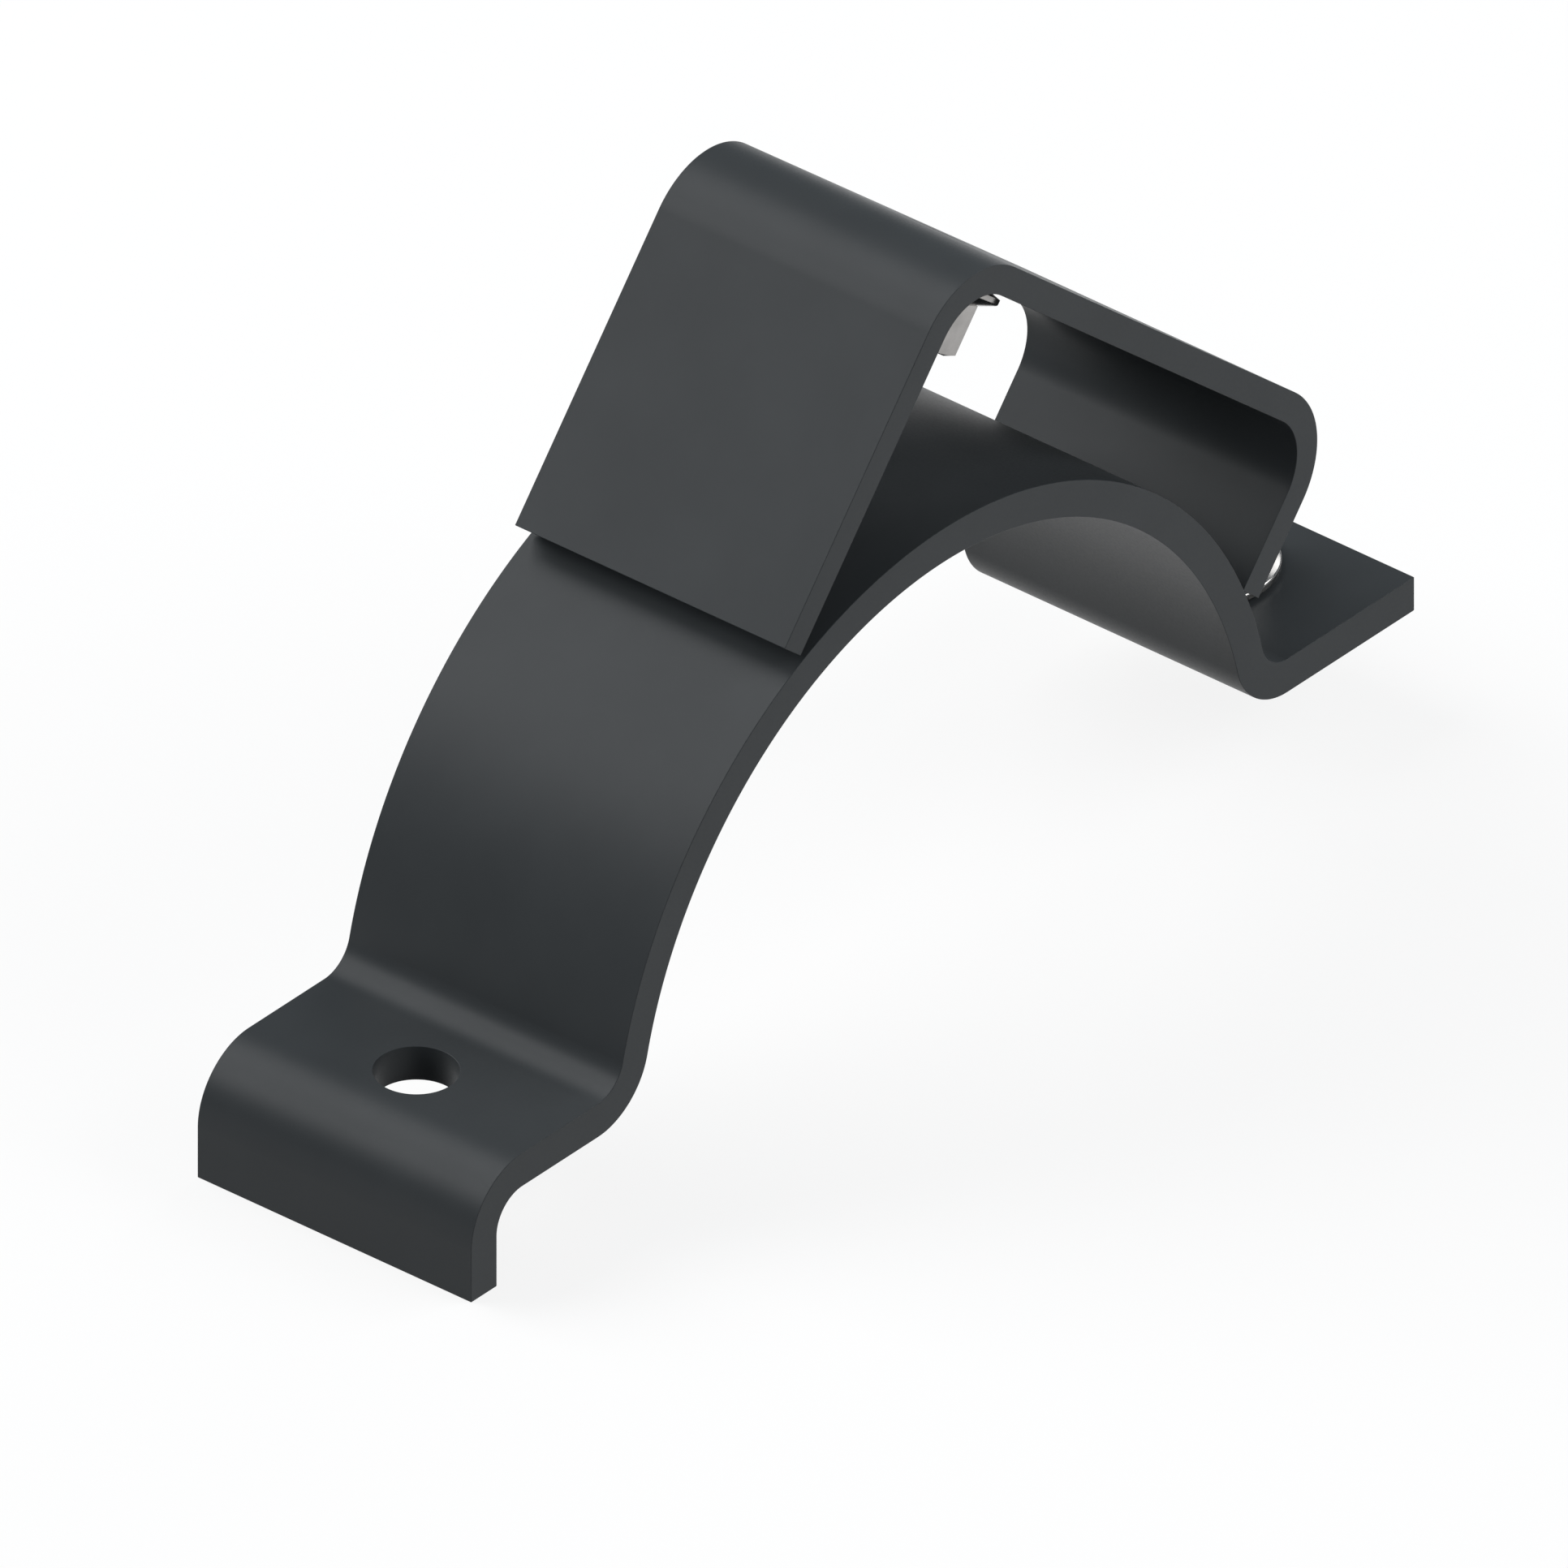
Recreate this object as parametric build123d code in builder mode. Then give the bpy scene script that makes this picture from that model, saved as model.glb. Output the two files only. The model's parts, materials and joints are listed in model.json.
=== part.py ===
from build123d import *
from math import asin, cos, degrees, radians, sqrt, tan
import os

# Half pipe clamp: a saddle strap that grips one side of a pipe, a folded bracket welded on
# its back, and two weld nuts. A second half, turned round the pipe, bolts against it.
# The origin is the pipe axis at the middle of the strap's width. X runs from the lipped
# flange to the flat flange, Y along the pipe and Z up through the crown of the saddle.
# Lengths are in millimetres and angles in degrees.

# Saddle strap, bent from flat bar
seat_radius = 59.3  # inside of the saddle, where the pipe sits
strap_thickness = 5.0
strap_width = 45.0
strap_bend_radius = 5.0  # inside of every bend
flange_rise = 6.6  # pipe axis to the underside of the flanges
lip_height = 17.5  # top of the flange to the tip of the lip
bolt_edge_distance = 16.0  # bolt axis to the end of its flange
bolt_hole_diameter = 11.0  # clearance for M10

# Top bracket, a U folded from sheet and tilted about the pipe axis
bracket_thickness = 4.0
bracket_side_inset = 0.3  # each side of the bracket, in from the side of the strap
bracket_bend_radius = 8.0  # inside of both bends
bracket_tilt = 40.0  # towards the flat flange
channel_height = 14.8  # back of the saddle to the inside of the web
left_leg_inset = 5.5  # inside of the long leg, in from the saddle's back radius
right_leg_offset = 28.6  # inside of the short leg from the pipe axis
weld_root_gap = 0.6  # left under the foot of the long leg for the weld
bracket_bolt_offset = 22.4  # bolt axis from the inside of the long leg

# Hexagon flange nut, M10
nut_height = 10.0
nut_across_flats = 15.0
nut_flange_diameter = 21.8
nut_bearing_diameter = 17.2  # flat face that the nut seats on, smaller than its flange
nut_underside_relief = 0.7  # rise of the flange's underside from there to its edge
nut_bend_clearance = 0.12  # between the seated nut and the foot of the strap's bend
nut_rim_thickness = 1.5  # bearing face to the upper edge of the flange
nut_rim_rounding = 0.4
nut_cone_angle = 25.0  # slope of the flange's upper side
nut_chamfer_angle = 25.0  # slope of the chamfer on the hexagon's corners
nut_chamfer_inset = 0.2  # chamfer circle inside the flats
nut_bore_diameter = 8.5  # minor diameter of the thread
nut_countersink_diameter = 10.6

# Sizes that follow from the ones above
saddle_back_radius = seat_radius + strap_thickness
flange_top = flange_rise + strap_thickness

# A flange meets the saddle in a bend whose centre lies outside the saddle, above the flange
bend_outside_radius = strap_bend_radius + strap_thickness
bend_centre_z = flange_top + strap_bend_radius
bend_centre_distance = saddle_back_radius + strap_bend_radius
bend_centre_x = sqrt(bend_centre_distance**2 - bend_centre_z**2)
bend_tangent_angle = degrees(asin(bend_centre_z / bend_centre_distance))
bend_sweep = 90 - bend_tangent_angle

# The bolts stand as near to the saddle as the nut's seat and the edge of its flange allow
nut_overhang = sqrt(strap_bend_radius**2 - (strap_bend_radius - nut_underside_relief) ** 2)
nut_standoff = max(nut_bearing_diameter / 2, nut_flange_diameter / 2 - nut_overhang)
bolt_x = bend_centre_x + nut_standoff + nut_bend_clearance
flange_end = bolt_x + bolt_edge_distance

# The lip hangs from the end of the left flange
lip_inside_x = -flange_end + strap_thickness
lip_tip_z = flange_top - lip_height
lip_bend_x = lip_inside_x + strap_bend_radius
lip_bend_z = flange_rise - strap_bend_radius

# The bracket is drawn in its own upright plane, turned about the pipe axis
bracket_width = strap_width - 2 * bracket_side_inset
web_inside = saddle_back_radius + channel_height
web_outside = web_inside + bracket_thickness
left_leg_inside = -(saddle_back_radius - left_leg_inset)
left_leg_outside = left_leg_inside - bracket_thickness
right_leg_outside = right_leg_offset + bracket_thickness
left_foot = sqrt((saddle_back_radius + weld_root_gap) ** 2 - left_leg_inside**2)
right_foot = sqrt(saddle_back_radius**2 - right_leg_offset**2)
bracket_bolt_u = left_leg_inside + bracket_bolt_offset

tilted_x = Vector(1, 0, 0).rotate(Axis.Y, bracket_tilt)
tilted_z = Vector(0, 0, 1).rotate(Axis.Y, bracket_tilt)
bracket_plane = Plane(origin=(0, 0, 0), x_dir=tilted_x, z_dir=(0, -1, 0))


# Saddle strap: the inside line of the bent bar, thickened outwards and drawn to its width
with BuildPart() as clamp_strap:
    with BuildSketch(Plane.XZ):
        with BuildLine():
            Line((lip_inside_x, lip_tip_z), (lip_inside_x, lip_bend_z))
            CenterArc((lip_bend_x, lip_bend_z), strap_bend_radius, 180, -90)
            Line((lip_bend_x, flange_rise), (-bend_centre_x, flange_rise))
            CenterArc((-bend_centre_x, bend_centre_z), bend_outside_radius, -90, bend_sweep)
            CenterArc((0, 0), seat_radius, bend_tangent_angle, 180 - 2 * bend_tangent_angle)
            CenterArc((bend_centre_x, bend_centre_z), bend_outside_radius, -90, -bend_sweep)
            Line((bend_centre_x, flange_rise), (flange_end, flange_rise))
            offset(amount=strap_thickness, side=Side.LEFT)
        make_face()
    extrude(amount=strap_width / 2, both=True)
    with Locations((-bolt_x, 0, flange_top), (bolt_x, 0, flange_top)):
        Hole(radius=bolt_hole_diameter / 2)

clamp_strap.part.label = "clamp_strap"


# Top bracket: the outside line of the U, thickened inwards, with a bolt hole in the web
with BuildPart() as top_bracket:
    with BuildSketch(bracket_plane):
        with BuildLine():
            FilletPolyline(
                (left_leg_outside, left_foot),
                (left_leg_outside, web_outside),
                (right_leg_outside, web_outside),
                (right_leg_outside, right_foot),
                radius=bracket_bend_radius + bracket_thickness,
            )
            offset(amount=bracket_thickness, side=Side.RIGHT)
        make_face()
    extrude(amount=bracket_width / 2, both=True)
    web_bolt = tilted_x * bracket_bolt_u + tilted_z * web_outside
    with Locations(Plane(origin=web_bolt, x_dir=tilted_x, z_dir=tilted_z)):
        Hole(radius=bolt_hole_diameter / 2)

top_bracket.part.label = "top_bracket"


# Weld nuts: one inside the bracket's web, one on top of the flat flange. Each seat is the
# plane that the nut's flange sits on, and the nut stands away from it.
nut_seats = {
    "bracket_nut": Plane(
        origin=tilted_x * bracket_bolt_u + tilted_z * web_inside,
        x_dir=tilted_x,
        z_dir=-tilted_z,
    ),
    "flange_nut": Plane(origin=(bolt_x, 0, flange_top), x_dir=(1, 0, 0), z_dir=(0, 0, 1)),
}

nut_flange_radius = nut_flange_diameter / 2
nut_bore_radius = nut_bore_diameter / 2
countersink_radius = nut_countersink_diameter / 2
countersink_depth = countersink_radius - nut_bore_radius
corner_radius = nut_across_flats / 2 / cos(radians(30))
chamfer_circle = nut_across_flats / 2 - nut_chamfer_inset
chamfer_drop = (corner_radius - chamfer_circle) * tan(radians(nut_chamfer_angle))
cone_rise = (nut_flange_radius - nut_bore_radius) * tan(radians(nut_cone_angle))

nuts = {}
for name, seat in nut_seats.items():
    section = Plane(origin=seat.origin, x_dir=seat.x_dir, z_dir=-seat.y_dir)
    nut_axis = Axis(seat.origin, seat.z_dir)
    with BuildPart() as nut:
        with BuildSketch(seat):
            RegularPolygon(radius=nut_across_flats / 2, side_count=6, major_radius=False)
        extrude(amount=nut_height)
        # the corners are turned off at the outer end
        with BuildSketch(section):
            with BuildLine():
                Polyline(
                    (0, nut_rim_thickness),
                    (corner_radius, nut_rim_thickness),
                    (corner_radius, nut_height - chamfer_drop),
                    (chamfer_circle, nut_height),
                    (0, nut_height),
                    close=True,
                )
            make_face()
        revolve(axis=nut_axis, mode=Mode.INTERSECT)
        # flange with a conical upper side and a relieved underside round its bearing face
        with BuildSketch(section):
            with BuildLine():
                Polyline(
                    (0, 0),
                    (nut_bearing_diameter / 2, 0),
                    (nut_flange_radius, nut_underside_relief),
                    (nut_flange_radius, nut_rim_thickness),
                    (nut_bore_radius, nut_rim_thickness + cone_rise),
                    (0, nut_rim_thickness + cone_rise),
                    close=True,
                )
            make_face()
            rim_corner = vertices().sort_by(Axis.X).group_by(Axis.X)[-1].sort_by(Axis.Y)[-1]
            fillet(rim_corner, radius=nut_rim_rounding)
        revolve(axis=nut_axis)
        # bore, countersunk at both ends
        with BuildSketch(section):
            with BuildLine():
                Polyline(
                    (0, 0),
                    (countersink_radius, 0),
                    (nut_bore_radius, countersink_depth),
                    (nut_bore_radius, nut_height - countersink_depth),
                    (countersink_radius, nut_height),
                    (0, nut_height),
                    close=True,
                )
            make_face()
        revolve(axis=nut_axis, mode=Mode.SUBTRACT)
    nut.part.label = name
    nuts[name] = nut.part


os.makedirs("parts", exist_ok=True)
export_step(clamp_strap.part, "parts/clamp_strap.step")
export_step(top_bracket.part, "parts/top_bracket.step")
for name, nut_part in nuts.items():
    export_step(nut_part, f"parts/{name}.step")
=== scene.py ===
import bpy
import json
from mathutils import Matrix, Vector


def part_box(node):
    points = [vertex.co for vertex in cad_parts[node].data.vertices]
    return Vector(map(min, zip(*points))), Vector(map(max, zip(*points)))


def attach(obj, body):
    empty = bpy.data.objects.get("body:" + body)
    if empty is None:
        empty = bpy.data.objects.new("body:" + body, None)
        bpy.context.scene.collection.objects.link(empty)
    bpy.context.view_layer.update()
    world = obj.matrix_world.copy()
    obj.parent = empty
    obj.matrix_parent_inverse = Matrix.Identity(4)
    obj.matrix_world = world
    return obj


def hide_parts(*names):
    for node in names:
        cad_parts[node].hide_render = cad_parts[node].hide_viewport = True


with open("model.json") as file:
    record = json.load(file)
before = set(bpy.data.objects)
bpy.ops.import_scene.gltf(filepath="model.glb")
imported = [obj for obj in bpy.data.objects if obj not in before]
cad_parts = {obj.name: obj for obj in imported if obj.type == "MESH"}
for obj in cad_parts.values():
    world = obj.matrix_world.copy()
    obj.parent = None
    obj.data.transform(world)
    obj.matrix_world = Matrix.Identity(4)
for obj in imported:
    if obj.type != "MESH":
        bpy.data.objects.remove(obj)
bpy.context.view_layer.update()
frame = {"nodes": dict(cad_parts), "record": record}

import json
from math import asin, atan2, cos, degrees, pi, radians, sin, sqrt, tan

import bmesh
import bpy
from mathutils import Matrix, Vector

bl_info = {
    "name": "Half pipe clamp",
    "version": (1, 0, 0),
    "blender": (4, 5, 0),
    "location": "View3D > Sidebar > Pipe clamp",
    "description": "Builds a coated half pipe clamp with its bracket and weld nuts",
    "category": "Object",
}

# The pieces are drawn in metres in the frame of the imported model: the origin is the pipe axis
# at the middle of the strap, X runs towards the flat flange, Y along the pipe, Z to the crown.
MM = 0.001
BODY = "root"
ALONG_PIPE = Vector((0, 1, 0))
ROUND_STEPS = 96  # facets of a full turn
MERGE_DISTANCE = 0.001 * MM  # points nearer than this are one

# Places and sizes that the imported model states
MOUNTS = {mount["name"]: mount for mount in frame["record"]["mounts"]}
STRAP_LOW, STRAP_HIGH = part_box("clamp_strap")
SEAT_RADIUS = MOUNTS["pipe_seat"]["dims"]["r_mm"] * MM
STRAP_WIDTH = MOUNTS["pipe_seat"]["dims"]["length_mm"] * MM
STRAP_THICKNESS = MOUNTS["flat_flange_hole"]["dims"]["length_mm"] * MM
BRACKET_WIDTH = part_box("top_bracket")[1].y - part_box("top_bracket")[0].y
BRACKET_THICKNESS = MOUNTS["web_hole"]["dims"]["length_mm"] * MM
BOLT_HOLE_RADIUS = MOUNTS["clamp_bolt_hole"]["dims"]["r_mm"] * MM
THREAD_MINOR_RADIUS = MOUNTS["clamp_nut_thread"]["dims"]["r_mm"] * MM
WEB_NORMAL = Vector(MOUNTS["bracket_face"]["axis"])
BRACKET_TILT = atan2(WEB_NORMAL.x, WEB_NORMAL.z)
WEB_OUTSIDE = Vector(MOUNTS["bracket_face"]["pos_m"]).dot(WEB_NORMAL)


def linear(hex_colour):
    """Turns an sRGB colour such as '#3A3C3E' into linear red, green and blue."""
    channels = []
    for start in (1, 3, 5):
        value = int(hex_colour[start:start + 2], 16) / 255
        channels.append(value / 12.92 if value <= 0.04045 else ((value + 0.055) / 1.055) ** 2.4)
    return channels


def length(name, description, millimetres):
    """A length that the user can set."""
    return bpy.props.FloatProperty(
        name=name, description=description, default=millimetres * MM, min=0, precision=5, unit="LENGTH"
    )


def colour(name, description, hex_colour):
    """A colour that the user can set."""
    return bpy.props.FloatVectorProperty(
        name=name, description=description, default=linear(hex_colour), size=3, min=0, max=1,
        subtype="COLOR",
    )


class StrapSettings(bpy.types.PropertyGroup):
    """Sizes of the clamp strap."""

    bend_radius: length("Bend radius", "Inside of every bend of the bar", 5.0)
    edge_break: length("Edge break", "Rounding on the cut edges of the bar", 0.08)
    step_degrees: bpy.props.FloatProperty(
        name="Step", description="Turn of each facet along the saddle, in degrees",
        default=1.0, min=0.5, max=5,
    )


class BracketSettings(bpy.types.PropertyGroup):
    """Sizes of the top bracket."""

    bend_radius: length("Bend radius", "Inside of both folds", 8.0)
    long_leg_inset: length("Long leg inset", "Inside of the long leg, in from the back of the saddle", 5.5)
    short_leg_offset: length("Short leg offset", "Inside of the short leg from the pipe axis", 28.6)
    root_gap: length("Root gap", "Left under the foot of the long leg", 0.6)
    edge_break: length("Edge break", "Rounding on the cut edges of the sheet", 0.08)


class NutSettings(bpy.types.PropertyGroup):
    """Sizes of the flange nuts."""

    height: length("Height", "Bearing face to the outer end", 10.0)
    across_flats: length("Across flats", "Width of the hexagon", 15.0)
    flange_diameter: length("Flange diameter", "Outside of the flange", 21.8)
    bearing_diameter: length("Bearing diameter", "Flat face that the nut seats on", 17.2)
    underside_relief: length("Underside relief", "Rise of the underside from bearing face to rim", 0.7)
    rim_thickness: length("Rim thickness", "Bearing face to the upper edge of the flange", 1.5)
    rim_rounding: length("Rim rounding", "Radius at the upper edge of the flange", 0.4)
    countersink_diameter: length("Countersink", "Mouth of the thread at both ends", 10.6)
    major_diameter: length("Thread size", "Outside of the thread that the nut takes", 10.0)
    pitch: length("Pitch", "Distance from one turn of the thread to the next", 1.5)
    chamfer_inset: length("Chamfer inset", "Circle of the end face inside the flats", 0.2)
    slope: bpy.props.FloatProperty(
        name="Slope", description="Slope of the flange and of the corner chamfers",
        default=radians(25), min=0, max=radians(60), subtype="ANGLE"
    )


class FinishSettings(bpy.types.PropertyGroup):
    """Colours of the finishes."""

    coat: colour("Coat", "Dark grey coating of the strap and the bracket", "#393C3E")
    coat_light: colour("Coat, thin", "The coating where it has run a little thinner", "#3D4042")
    zinc: colour("Zinc", "Bright plating of the nuts", "#A8A6A4")
    zinc_dull: colour("Zinc, dull", "The plating where it has gone duller", "#9A9896")
    floor: colour("Floor", "Floor under the part", "#F8F8F8")
    floor_light: colour("Floor's light", "Share of light that the floor throws back up", "#686868")


class StageSettings(bpy.types.PropertyGroup):
    """Camera and lights."""

    azimuth: bpy.props.FloatProperty(
        name="Azimuth", description="Turn of the camera about Z, from looking along Y",
        default=radians(-49.89), subtype="ANGLE"
    )
    elevation: bpy.props.FloatProperty(
        name="Elevation", description="Height of the camera above the horizon",
        default=radians(32.95), subtype="ANGLE"
    )
    view_width: length("View width", "Width of what the camera sees", 197.1)
    sideways: length("Sideways", "Middle of the view to the left of the pipe axis", 2.75)
    upwards: length("Upwards", "Middle of the view above the pipe axis", 14.1)
    ambient: colour("Ambient", "Dim, slightly cool light from all round", "#4E585F")


class ClampSettings(bpy.types.PropertyGroup):
    """All settings of the half pipe clamp."""

    strap: bpy.props.PointerProperty(type=StrapSettings, name="Strap", description="Clamp strap")
    bracket: bpy.props.PointerProperty(type=BracketSettings, name="Bracket", description="Top bracket")
    nut: bpy.props.PointerProperty(type=NutSettings, name="Nuts", description="Flange nuts")
    finish: bpy.props.PointerProperty(type=FinishSettings, name="Finish", description="Colours")
    stage: bpy.props.PointerProperty(type=StageSettings, name="Stage", description="Camera and lights")


def add_node(tree, kind, settings=None, values=None, links=None):
    """Adds a shader node, sets its settings and input values, and links its inputs."""
    node = tree.nodes.new(kind)
    for name, value in (settings or {}).items():
        setattr(node, name, value)
    for name, value in (values or {}).items():
        node.inputs[name].default_value = value
    for name, socket in (links or {}).items():
        tree.links.new(socket, node.inputs[name])
    return node


def new_material(name):
    """An empty node material and its node tree."""
    material = bpy.data.materials.new(name)
    material.use_nodes = True
    material.node_tree.nodes.clear()
    return material, material.node_tree


def noise(tree, place, feature_mm, detail=2.0):
    """Noise whose features are about feature_mm wide."""
    return add_node(
        tree, "ShaderNodeTexNoise",
        values={"Scale": 1 / (feature_mm * MM), "Detail": detail},
        links={"Vector": place.outputs["Object"]},
    ).outputs["Fac"]


def blend_colours(tree, factor, first, second):
    """Mixes two colours by a pattern."""
    # numbered, because the mix node gives its number, vector and colour sockets the same names
    first_colour, second_colour, mixed_colour = 6, 7, 2
    return add_node(
        tree, "ShaderNodeMix", settings={"data_type": "RGBA"},
        values={first_colour: (*first, 1), second_colour: (*second, 1)}, links={"Factor": factor},
    ).outputs[mixed_colour]


def spread(tree, factor, low, high):
    """Stretches a noise over low to high."""
    noise_low, noise_high = 0.3, 0.7  # noise seldom leaves this range
    return add_node(
        tree, "ShaderNodeMapRange",
        values={"From Min": noise_low, "From Max": noise_high, "To Min": low, "To Max": high},
        links={"Value": factor},
    ).outputs["Result"]


def relief(tree, height, strength):
    """Raises and lowers a surface a little by a pattern."""
    depth = 0.01 * MM
    return add_node(
        tree, "ShaderNodeBump", values={"Strength": strength, "Distance": depth}, links={"Height": height}
    ).outputs["Normal"]


def satin_dip_coat(finish):
    """Dip-coated steel. The film is even and dark, with a soft sheen that shows the bends as
    broad light and dark bands, and only a trace of orange peel."""
    cloud_mm = 14.0  # slow change of film thickness
    peel_mm = 0.9  # orange peel
    peel_strength = 0.12
    grain_mm = 0.35  # fine unevenness of the sheen, coarser than the real one so that it shows
    smoothest, roughest = 0.38, 0.44
    gloss = 0.17  # below 0.5, a glossy film's value, because the film is matted
    material, tree = new_material("satin_dip_coat")
    place = add_node(tree, "ShaderNodeTexCoord")
    cloud = spread(tree, noise(tree, place, cloud_mm), 0.0, 1.0)
    sheen = spread(tree, noise(tree, place, grain_mm, 1.0), smoothest, roughest)
    shader = add_node(
        tree, "ShaderNodeBsdfPrincipled",
        values={"Metallic": 0.0, "IOR": 1.5, "Specular IOR Level": gloss},
        links={
            "Base Color": blend_colours(tree, cloud, finish.coat, finish.coat_light),
            "Roughness": sheen,
            "Normal": relief(tree, noise(tree, place, peel_mm), peel_strength),
        },
    )
    add_node(tree, "ShaderNodeOutputMaterial", links={"Surface": shader.outputs["BSDF"]})
    return material


def bright_zinc_plate(finish):
    """Bright zinc plating on steel. It mirrors its surroundings a little blurred, so it is
    white where it faces the light and dark where it faces the coated steel."""
    patch_mm = 3.0  # slow change of the plating's brightness
    grain_mm = 0.4  # fine grain of the forged surface, coarser than the real one
    grain_strength = 0.04
    clearest, dullest = 0.16, 0.26
    material, tree = new_material("bright_zinc_plate")
    place = add_node(tree, "ShaderNodeTexCoord")
    patch = spread(tree, noise(tree, place, patch_mm), 0.0, 1.0)
    blur = spread(tree, noise(tree, place, patch_mm, 3.0), clearest, dullest)
    shader = add_node(
        tree, "ShaderNodeBsdfPrincipled", values={"Metallic": 1.0},
        links={
            "Base Color": blend_colours(tree, patch, finish.zinc, finish.zinc_dull),
            "Roughness": blur,
            "Normal": relief(tree, noise(tree, place, grain_mm), grain_strength),
        },
    )
    add_node(tree, "ShaderNodeOutputMaterial", links={"Surface": shader.outputs["BSDF"]})
    return material


FINISHES = {"coated_steel": satin_dip_coat, "plated_steel": bright_zinc_plate}


def material_for(slot):
    """The material of a slot of the record, made once."""
    maker = FINISHES[slot]
    made = bpy.data.materials.get(maker.__name__)
    return made or maker(bpy.context.scene.pipe_clamp.finish)


def new_object(name, mesh_data):
    """Makes an object from a bmesh."""
    mesh = bpy.data.meshes.new(name)
    mesh_data.to_mesh(mesh)
    mesh_data.free()
    piece = bpy.data.objects.new(name, mesh)
    bpy.context.scene.collection.objects.link(piece)
    return piece


def apply_modifiers(piece):
    """Turns the modifiers of a piece into its mesh."""
    evaluated = piece.evaluated_get(bpy.context.evaluated_depsgraph_get())
    mesh = bpy.data.meshes.new_from_object(evaluated)
    piece.modifiers.clear()
    piece.data = mesh


def combine(piece, tool, operation):
    """Cuts, joins or trims a piece with another solid, which is then removed."""
    modifier = piece.modifiers.new("combine", "BOOLEAN")
    modifier.operation = operation
    modifier.solver = "EXACT"
    modifier.object = tool
    apply_modifiers(piece)
    bpy.data.objects.remove(tool)


def break_edges(piece, width):
    """Rounds the sharp edges of a piece and shades the rest smooth. The large faces set the
    shading of their corners, so that a flat stays flat up to its bends and its edges."""
    sharp_angle = radians(35)
    piece.data.shade_smooth()
    modifier = piece.modifiers.new("edge_break", "BEVEL")
    modifier.width = width
    modifier.segments = 2
    modifier.limit_method = "ANGLE"
    modifier.angle_limit = sharp_angle
    piece.modifiers.new("even_shading", "WEIGHTED_NORMAL")
    apply_modifiers(piece)


def finish_piece(piece, node, slot):
    """Places a finished piece in the frame: its node, its material and its body."""
    piece.data.materials.clear()
    piece.data.materials.append(material_for(slot))
    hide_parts(node)
    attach(piece, BODY)


def section(mesh_data, inside, outside, width):
    """The rectangle that a bar is swept from, between two points of the XZ plane."""
    corners = [(inside, -width / 2), (inside, width / 2), (outside, width / 2), (outside, -width / 2)]
    vertices = [mesh_data.verts.new((point[0], y, point[1])) for point, y in corners]
    return mesh_data.faces.new(vertices)


def run_straight(mesh_data, face, move):
    """Extrudes the end face of a bar and returns the new end face."""
    made = bmesh.ops.extrude_face_region(mesh_data, geom=[face])["geom"]
    vertices = [item for item in made if isinstance(item, bmesh.types.BMVert)]
    bmesh.ops.translate(mesh_data, verts=vertices, vec=move)
    return next(item for item in made if isinstance(item, bmesh.types.BMFace))


def run_bend(mesh_data, face, centre, angle, step_degrees):
    """Spins the end face of a bar about a centre in the XZ plane. A turn from Z to X counts
    as positive. Returns the new end face."""
    fewest_steps = 4
    made = bmesh.ops.spin(
        mesh_data, geom=[face], cent=(centre[0], 0, centre[1]), axis=ALONG_PIPE, angle=angle,
        steps=max(fewest_steps, round(abs(degrees(angle)) / step_degrees)), use_duplicate=False,
    )["geom_last"]
    return next(item for item in made if isinstance(item, bmesh.types.BMFace))


def close_bar(mesh_data):
    """Removes the cross-sections that the runs leave inside a bar, and turns its faces outwards."""
    walls = [face for face in mesh_data.faces if all(len(edge.link_faces) > 2 for edge in face.edges)]
    bmesh.ops.delete(mesh_data, geom=walls, context="FACES_ONLY")
    bmesh.ops.recalc_face_normals(mesh_data, faces=mesh_data.faces)


def drill(piece, place, direction, radius):
    """Cuts a round hole through a piece."""
    reach = 30 * MM  # through any bar or sheet of the part
    cutter = bmesh.new()
    bmesh.ops.create_cone(
        cutter, cap_ends=True, segments=ROUND_STEPS, radius1=radius, radius2=radius, depth=reach,
        matrix=Matrix.Translation(place) @ Vector(direction).to_track_quat("Z", "Y").to_matrix().to_4x4(),
    )
    combine(piece, new_object("hole_cutter", cutter), "DIFFERENCE")


def merge_points(mesh_data):
    """Merges the points that fall together, and clears away what that leaves without an area."""
    bmesh.ops.remove_doubles(mesh_data, verts=mesh_data.verts, dist=MERGE_DISTANCE)
    bmesh.ops.dissolve_degenerate(mesh_data, edges=mesh_data.edges, dist=MERGE_DISTANCE / 10)
    bare = [edge for edge in mesh_data.edges if not edge.link_faces]
    bmesh.ops.delete(mesh_data, geom=bare, context="EDGES")


def revolve(name, profile):
    """Spins a closed outline of radius and height points about Z."""
    mesh_data = bmesh.new()
    vertices = [mesh_data.verts.new((radius, 0, height)) for radius, height in profile]
    edges = [mesh_data.edges.new(pair) for pair in zip(vertices, vertices[1:] + vertices[:1])]
    bmesh.ops.spin(
        mesh_data, geom=vertices + edges, cent=(0, 0, 0), axis=(0, 0, 1), angle=2 * pi,
        steps=ROUND_STEPS, use_merge=True, use_duplicate=False,
    )
    merge_points(mesh_data)  # the points along the axis
    bmesh.ops.recalc_face_normals(mesh_data, faces=mesh_data.faces)
    return new_object(name, mesh_data)


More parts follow.
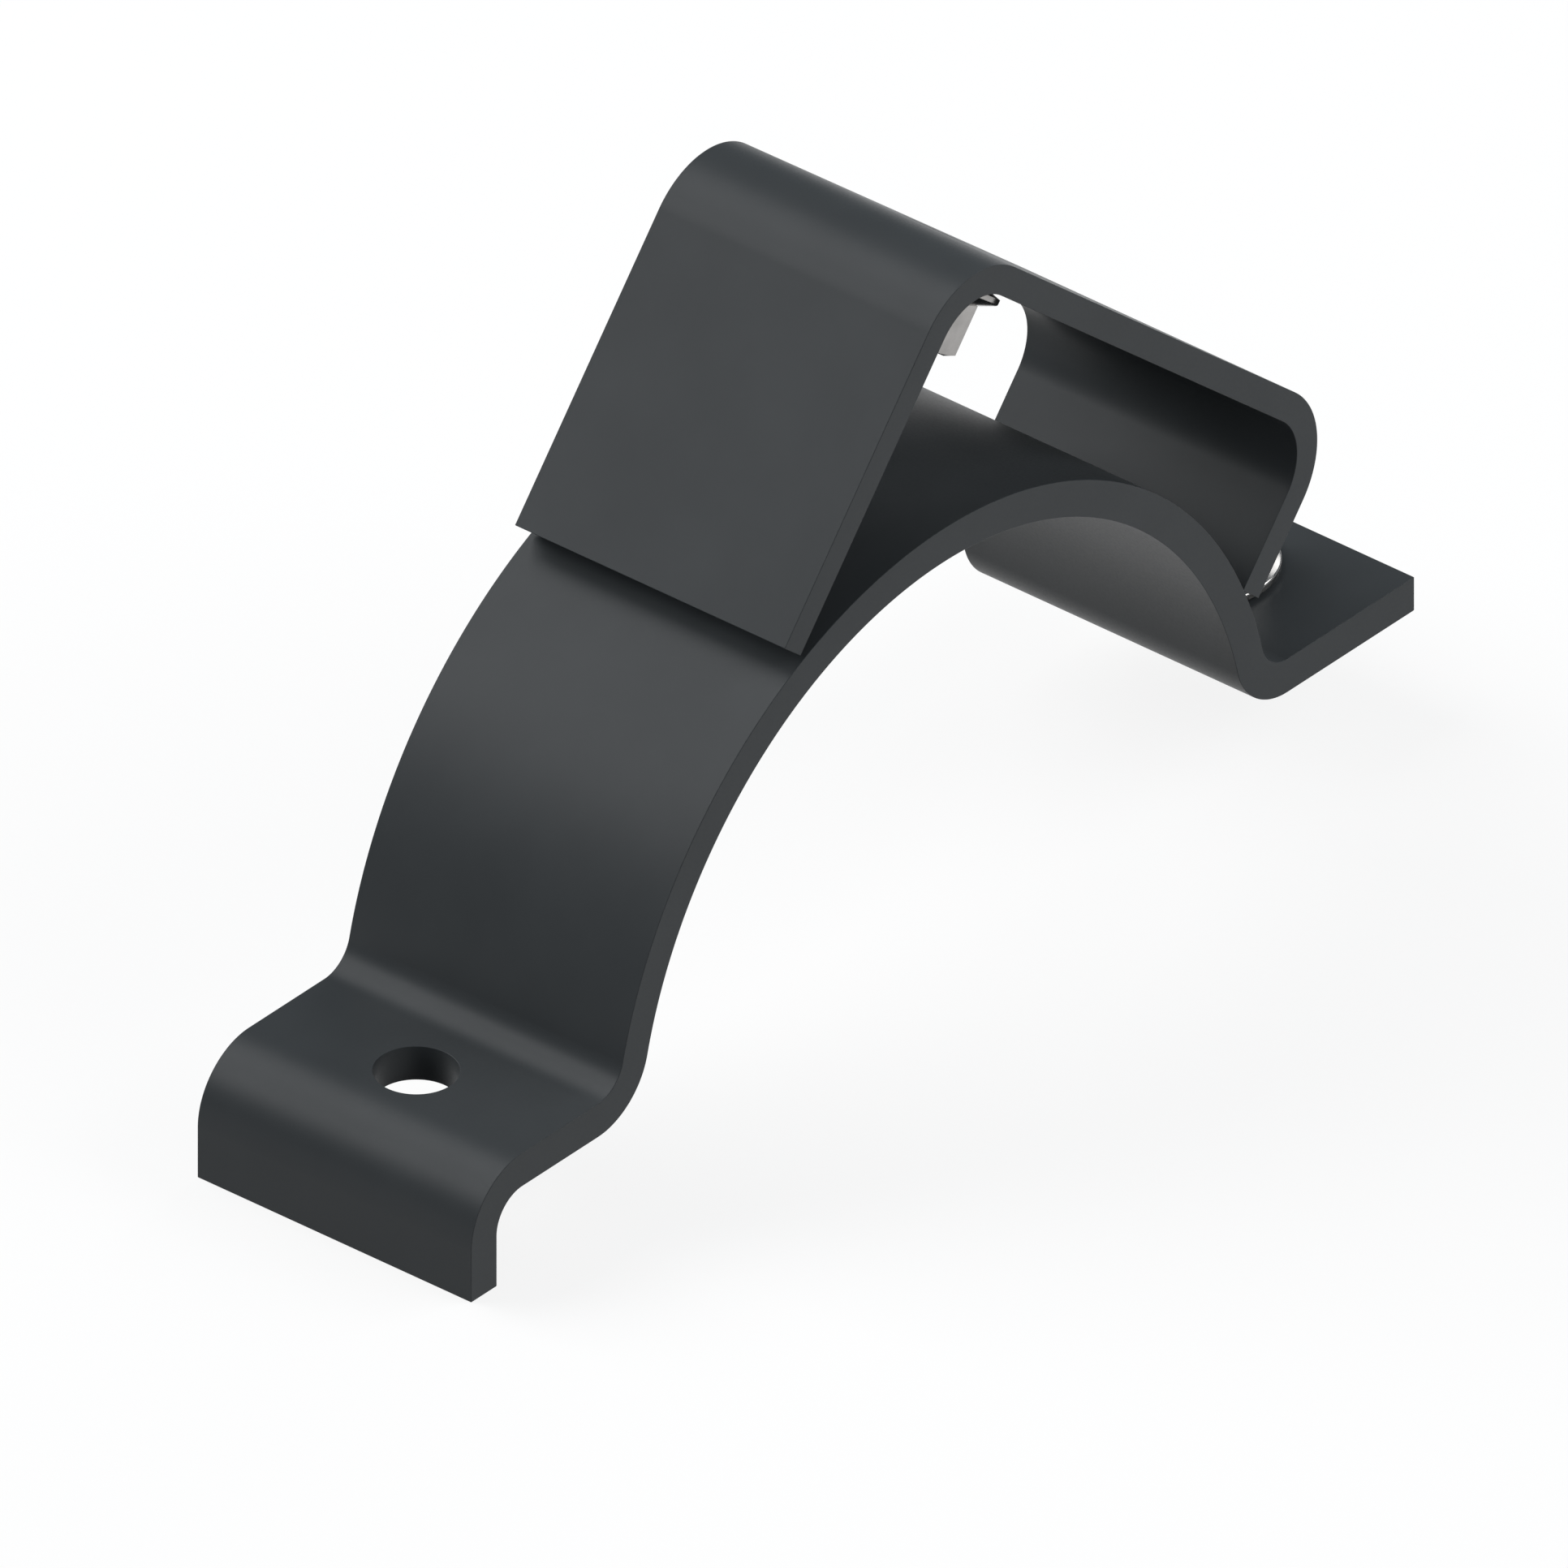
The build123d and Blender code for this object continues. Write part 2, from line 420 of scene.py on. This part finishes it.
def build_strap(settings):
    """The strap: a flat bar swept through the lip, the left flange, the saddle and the right flange."""
    inner_bend = settings.bend_radius
    outer_bend = inner_bend + STRAP_THICKNESS
    saddle_back = SEAT_RADIUS + STRAP_THICKNESS
    flange_top = MOUNTS["flat_flange_hole"]["pos_m"][2] + STRAP_THICKNESS / 2
    flange_underside = flange_top - STRAP_THICKNESS
    bend_z = flange_top + inner_bend
    bend_x = sqrt((saddle_back + inner_bend) ** 2 - bend_z**2)
    tangent = asin(bend_z / (saddle_back + inner_bend))
    lip_inside = STRAP_LOW.x + STRAP_THICKNESS
    lip_bend_x = lip_inside + inner_bend
    lip_bend_z = flange_underside - inner_bend
    step = settings.step_degrees

    bar = bmesh.new()
    end = section(bar, (lip_inside, STRAP_LOW.z), (STRAP_LOW.x, STRAP_LOW.z), STRAP_WIDTH)
    end = run_straight(bar, end, (0, 0, lip_bend_z - STRAP_LOW.z))
    end = run_bend(bar, end, (lip_bend_x, lip_bend_z), pi / 2, 2 * step)
    end = run_straight(bar, end, (-bend_x - lip_bend_x, 0, 0))
    end = run_bend(bar, end, (-bend_x, bend_z), tangent - pi / 2, 2 * step)
    end = run_bend(bar, end, (0, 0), pi - 2 * tangent, step)
    end = run_bend(bar, end, (bend_x, bend_z), tangent - pi / 2, 2 * step)
    run_straight(bar, end, (STRAP_HIGH.x - bend_x, 0, 0))
    close_bar(bar)
    piece = new_object("strap_body", bar)
    for hole in ("clamp_bolt_hole", "flat_flange_hole"):
        drill(piece, MOUNTS[hole]["pos_m"], MOUNTS[hole]["axis"], BOLT_HOLE_RADIUS)
    break_edges(piece, settings.edge_break)
    return piece


def build_bracket(settings, step_degrees):
    """The bracket: a sheet swept up the long leg, along the web and down the short leg, drawn
    upright and then tilted about the pipe axis."""
    saddle_back = SEAT_RADIUS + STRAP_THICKNESS
    outer_bend = settings.bend_radius + BRACKET_THICKNESS
    long_inside = -(saddle_back - settings.long_leg_inset)
    long_outside = long_inside - BRACKET_THICKNESS
    short_outside = settings.short_leg_offset + BRACKET_THICKNESS
    long_foot = sqrt((saddle_back + settings.root_gap) ** 2 - long_inside**2)
    short_foot = sqrt(saddle_back**2 - settings.short_leg_offset**2)
    bend_z = WEB_OUTSIDE - outer_bend
    first_bend = long_outside + outer_bend
    second_bend = short_outside - outer_bend

    sheet = bmesh.new()
    end = section(sheet, (long_inside, long_foot), (long_outside, long_foot), BRACKET_WIDTH)
    end = run_straight(sheet, end, (0, 0, bend_z - long_foot))
    end = run_bend(sheet, end, (first_bend, bend_z), pi / 2, step_degrees)
    end = run_straight(sheet, end, (second_bend - first_bend, 0, 0))
    end = run_bend(sheet, end, (second_bend, bend_z), pi / 2, step_degrees)
    run_straight(sheet, end, (0, 0, short_foot - bend_z))
    close_bar(sheet)
    bmesh.ops.rotate(
        sheet, verts=sheet.verts, cent=(0, 0, 0), matrix=Matrix.Rotation(BRACKET_TILT, 3, "Y")
    )
    piece = new_object("bracket_body", sheet)
    drill(piece, MOUNTS["web_hole"]["pos_m"], MOUNTS["web_hole"]["axis"], BOLT_HOLE_RADIUS)
    break_edges(piece, settings.edge_break)
    return piece


def rounded_rim(settings):
    """Points round the upper edge of the flange, from the rim to the start of its slope."""
    steps = 5
    turn = pi / 2 - settings.slope
    below_corner = settings.rim_rounding * tan(turn / 2)
    centre_radius = settings.flange_diameter / 2 - settings.rim_rounding
    centre_height = settings.rim_thickness - below_corner
    points = []
    for step in range(steps + 1):
        angle = turn * step / steps
        across = centre_radius + settings.rim_rounding * cos(angle)
        up = centre_height + settings.rim_rounding * sin(angle)
        points.append((across, up))
    return points


def hexagon(settings):
    """The hexagon of a nut, with its corners turned off at the outer end."""
    corner = settings.across_flats / 2 / cos(pi / 6)
    end_circle = settings.across_flats / 2 - settings.chamfer_inset
    beyond = 1.1 * corner  # clear of the corners, so that they are cut by the slope alone
    slope_start = settings.height - (beyond - end_circle) * tan(settings.slope)
    prism = bmesh.new()
    bmesh.ops.create_circle(
        prism, cap_ends=True, segments=6, radius=corner,
        matrix=Matrix.Translation((0, 0, settings.rim_thickness)) @ Matrix.Rotation(pi / 6, 4, "Z"),
    )
    run_straight(prism, prism.faces[:][0], (0, 0, settings.height - settings.rim_thickness))
    bmesh.ops.recalc_face_normals(prism, faces=prism.faces)
    piece = new_object("nut_hexagon", prism)
    turned = revolve("nut_turning", [
        (0, 0), (beyond, 0), (beyond, slope_start), (end_circle, settings.height), (0, settings.height),
    ])
    combine(piece, turned, "INTERSECT")
    return piece


def thread_ridge(settings):
    """The ridge of an internal thread, spun upwards past both ends of the nut."""
    steps_per_turn = 48
    half_crest = 0.125 * settings.pitch
    half_root = 0.42 * settings.pitch
    into_wall = 0.05 * MM  # how far the ridge reaches into the nut, so that the two join
    half_facet = pi / ROUND_STEPS
    turns = int(settings.height / settings.pitch) + 2
    root = settings.major_diameter / 2 + into_wall
    ridge = bmesh.new()
    outline = [
        (root, -half_root), (THREAD_MINOR_RADIUS, -half_crest),
        (THREAD_MINOR_RADIUS, half_crest), (root, half_root),
    ]
    start = -settings.pitch
    face = ridge.faces.new([ridge.verts.new((radius, 0, start + height)) for radius, height in outline])
    bmesh.ops.spin(
        ridge, geom=[face], cent=(0, 0, 0), axis=(0, 0, 1), angle=2 * pi * turns,
        dvec=(0, 0, settings.pitch / steps_per_turn), steps=steps_per_turn * turns, use_duplicate=False,
    )
    # turned off the edges of the bore and cut into flat triangles, so that it joins the nut cleanly
    bmesh.ops.rotate(ridge, verts=ridge.verts, cent=(0, 0, 0), matrix=Matrix.Rotation(half_facet, 3, "Z"))
    bmesh.ops.triangulate(ridge, faces=ridge.faces)
    bmesh.ops.recalc_face_normals(ridge, faces=ridge.faces)
    return new_object("nut_thread", ridge)


def build_nut(name, settings, mount):
    """A flange nut, standing away from its seat along the axis of its thread."""
    flange_radius = settings.flange_diameter / 2
    bore = settings.major_diameter / 2
    mouth = settings.countersink_diameter / 2
    past_end = MM  # how far the bore's cutter reaches past each end
    clear_radius = THREAD_MINOR_RADIUS - MM / 2  # inside the thread's crest
    cone_top = settings.rim_thickness + (flange_radius - bore) * tan(settings.slope)
    sharp_angle = radians(15)  # the rim's facets turn less than this, the underside and chamfers more
    piece = revolve(name, [
        (0, 0), (settings.bearing_diameter / 2, 0), (flange_radius, settings.underside_relief),
        *rounded_rim(settings), (bore, cone_top), (0, cone_top),
    ])
    combine(piece, hexagon(settings), "UNION")
    combine(piece, revolve("nut_bore", [
        (0, -past_end), (mouth + past_end, -past_end), (bore, mouth - bore),
        (bore, settings.height - mouth + bore),
        (mouth + past_end, settings.height + past_end), (0, settings.height + past_end),
    ]), "DIFFERENCE")
    # the countersinks trim the thread at both ends
    thread = thread_ridge(settings)
    combine(thread, revolve("thread_trim", [
        (mouth, 0), (mouth, settings.height), (clear_radius, settings.height - mouth + clear_radius),
        (clear_radius, mouth - clear_radius),
    ]), "INTERSECT")
    combine(piece, thread, "UNION")
    joined = bmesh.new()
    joined.from_mesh(piece.data)
    merge_points(joined)
    joined.to_mesh(piece.data)
    joined.free()
    out_of_seat = -Vector(mount["axis"])
    across = ALONG_PIPE.cross(out_of_seat)
    turn = Matrix((across, out_of_seat.cross(across), out_of_seat)).transposed().to_4x4()
    seat = Vector(mount["pos_m"]) - out_of_seat * settings.height / 2
    piece.data.transform(Matrix.Translation(seat) @ turn)
    piece.data.shade_smooth()
    piece.data.set_sharp_from_angle(angle=sharp_angle)
    return piece


def softbox(name, azimuth, elevation, width, height, brightness):
    """An oblong softbox that faces the origin, with its width level. Azimuth is counted from X
    towards Y, and both angles are in degrees. Brightness is that of its face: 1 is white."""
    distance = 3.0
    lamp = bpy.data.lights.new(name, "AREA")
    lamp.shape = "RECTANGLE"
    lamp.size = width
    lamp.size_y = height
    lamp.energy = brightness * pi * width * height
    holder = bpy.data.objects.new(name, lamp)
    about = Matrix.Rotation(radians(azimuth) + pi / 2, 4, "Z")
    over = Matrix.Rotation(pi / 2 - radians(elevation), 4, "X")
    holder.matrix_world = about @ over @ Matrix.Translation((0, 0, distance))
    bpy.context.scene.collection.objects.link(holder)


def seen_directly(tree):
    """1 for what the camera sees, directly or mirrored in metal, and 0 for light that it sends."""
    path = add_node(tree, "ShaderNodeLightPath")
    pair = add_node(
        tree, "ShaderNodeMath", settings={"operation": "MAXIMUM"},
        links={0: path.outputs["Is Camera Ray"], 1: path.outputs["Is Glossy Ray"]},
    )
    return add_node(
        tree, "ShaderNodeMath", settings={"operation": "MAXIMUM"},
        links={0: pair.outputs["Value"], 1: path.outputs["Is Transmission Ray"]},
    ).outputs["Value"]


def studio_floor(finish):
    """Matt white studio board. It shows pure white with a soft shadow, but throws little light
    back up, so that the undersides of the part stay dark."""
    shadow_share = 0.15  # how much of the shadow shows
    material, tree = new_material("matt_white_board")
    board = add_node(tree, "ShaderNodeBsdfDiffuse", values={"Color": (*finish.floor, 1)})
    thrown = add_node(tree, "ShaderNodeBsdfDiffuse", values={"Color": (*finish.floor_light, 1)})
    glow = add_node(tree, "ShaderNodeEmission", values={"Color": (1, 1, 1, 1), "Strength": 1.0})
    lifted = add_node(
        tree, "ShaderNodeMixShader", values={"Fac": shadow_share},
        links={1: glow.outputs["Emission"], 2: board.outputs["BSDF"]},
    )
    shown = add_node(
        tree, "ShaderNodeMixShader",
        links={"Fac": seen_directly(tree), 1: thrown.outputs["BSDF"], 2: lifted.outputs["Shader"]},
    )
    add_node(tree, "ShaderNodeOutputMaterial", links={"Surface": shown.outputs["Shader"]})
    return material


def studio_world(ambient):
    """An even, dim, slightly cool surround. The floor hides it from the camera."""
    world = bpy.data.worlds.new("studio")
    world.use_nodes = True
    tree = world.node_tree
    tree.nodes.clear()
    dim = add_node(tree, "ShaderNodeBackground", values={"Color": (*ambient, 1), "Strength": 1.0})
    add_node(tree, "ShaderNodeOutputWorld", links={"Surface": dim.outputs["Background"]})
    return world


def place_camera(settings):
    """A camera with parallel projection at the set azimuth and elevation."""
    turn = Matrix.Rotation(settings.azimuth, 3, "Z") @ Matrix.Rotation(pi / 2 - settings.elevation, 3, "X")
    right, up, back = (Vector(column) for column in turn.transposed())
    data = bpy.data.cameras.new("camera")
    data.type = "ORTHO"
    data.ortho_scale = settings.view_width
    camera = bpy.data.objects.new("camera", data)
    camera.location = back - right * settings.sideways + up * settings.upwards
    camera.rotation_euler = turn.to_euler()
    bpy.context.scene.collection.objects.link(camera)
    bpy.context.scene.camera = camera


class PIPECLAMP_OT_strap(bpy.types.Operator):
    """Build the clamp strap"""

    bl_idname = "pipe_clamp.strap"
    bl_label = "Clamp strap"

    def execute(self, context):
        finish_piece(build_strap(context.scene.pipe_clamp.strap), "clamp_strap", "coated_steel")
        return {"FINISHED"}


class PIPECLAMP_OT_bracket(bpy.types.Operator):
    """Build the top bracket"""

    bl_idname = "pipe_clamp.bracket"
    bl_label = "Top bracket"

    def execute(self, context):
        settings = context.scene.pipe_clamp
        piece = build_bracket(settings.bracket, settings.strap.step_degrees)
        finish_piece(piece, "top_bracket", "coated_steel")
        return {"FINISHED"}


class PIPECLAMP_OT_nuts(bpy.types.Operator):
    """Build the two flange nuts"""

    bl_idname = "pipe_clamp.nuts"
    bl_label = "Flange nuts"

    def execute(self, context):
        places = {"bracket_nut": "bracket_nut_thread", "flange_nut": "clamp_nut_thread"}
        for node, thread in places.items():
            piece = build_nut(node + "_body", context.scene.pipe_clamp.nut, MOUNTS[thread])
            finish_piece(piece, node, "plated_steel")
        return {"FINISHED"}


class PIPECLAMP_OT_nodes(bpy.types.Operator):
    """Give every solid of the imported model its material"""

    bl_idname = "pipe_clamp.nodes"
    bl_label = "Solids' materials"

    def execute(self, context):
        for part in frame["record"]["subparts"]:
            materials = frame["nodes"][part["node"]].data.materials
            materials.clear()
            materials.append(material_for(part["material_slot"]))
        return {"FINISHED"}


class PIPECLAMP_OT_stage(bpy.types.Operator):
    """Set up the floor, the lights, the surround and the camera"""

    bl_idname = "pipe_clamp.stage"
    bl_label = "Stage"

    def execute(self, context):
        settings = context.scene.pipe_clamp
        floor_size = 6.0
        sheet = bmesh.new()
        bmesh.ops.create_grid(
            sheet, x_segments=1, y_segments=1, size=floor_size / 2,
            matrix=Matrix.Translation((0, 0, STRAP_LOW.z)),
        )
        floor = new_object("floor", sheet)
        floor.data.materials.append(studio_floor(settings.finish))
        softbox("back_softbox", azimuth=112, elevation=36, width=2.6, height=1.3, brightness=6.6)
        softbox("high_softbox", azimuth=90, elevation=58, width=1.6, height=1.0, brightness=4.0)
        softbox("right_softbox", azimuth=-48, elevation=35, width=2.6, height=1.3, brightness=4.8)
        softbox("left_softbox", azimuth=-120, elevation=12, width=1.6, height=1.2, brightness=1.9)
        softbox("end_softbox", azimuth=8, elevation=28, width=0.9, height=1.2, brightness=3.0)
        context.scene.world = studio_world(settings.stage.ambient)
        context.scene.view_settings.view_transform = "Standard"
        place_camera(settings.stage)
        return {"FINISHED"}


class PIPECLAMP_PT_sidebar(bpy.types.Panel):
    """Sidebar panel that builds the clamp piece by piece"""

    bl_idname = "PIPECLAMP_PT_sidebar"
    bl_label = "Half pipe clamp"
    bl_space_type = "VIEW_3D"
    bl_region_type = "UI"
    bl_category = "Pipe clamp"

    def draw(self, context):
        settings = context.scene.pipe_clamp
        for operator in OPERATORS:
            self.layout.operator(operator.bl_idname)
        for group in (settings.strap, settings.bracket, settings.nut, settings.finish, settings.stage):
            box = self.layout.box()
            for name in group.__annotations__:
                box.prop(group, name)


GROUPS = (StrapSettings, BracketSettings, NutSettings, FinishSettings, StageSettings, ClampSettings)
OPERATORS = (
    PIPECLAMP_OT_nodes, PIPECLAMP_OT_strap, PIPECLAMP_OT_bracket, PIPECLAMP_OT_nuts, PIPECLAMP_OT_stage,
)
CLASSES = (*GROUPS, *OPERATORS, PIPECLAMP_PT_sidebar)


def register():
    """Adds the settings, the operators and the panel."""
    for added in CLASSES:
        bpy.utils.register_class(added)
    bpy.types.Scene.pipe_clamp = bpy.props.PointerProperty(type=ClampSettings)


def unregister():
    """Takes them out again."""
    del bpy.types.Scene.pipe_clamp
    for added in reversed(CLASSES):
        bpy.utils.unregister_class(added)


def main():
    """Builds the whole part and its stage."""
    register()
    bpy.ops.pipe_clamp.nodes()
    bpy.ops.pipe_clamp.strap()
    bpy.ops.pipe_clamp.bracket()
    bpy.ops.pipe_clamp.nuts()
    bpy.ops.pipe_clamp.stage()


if __name__ == "__main__":
    main()
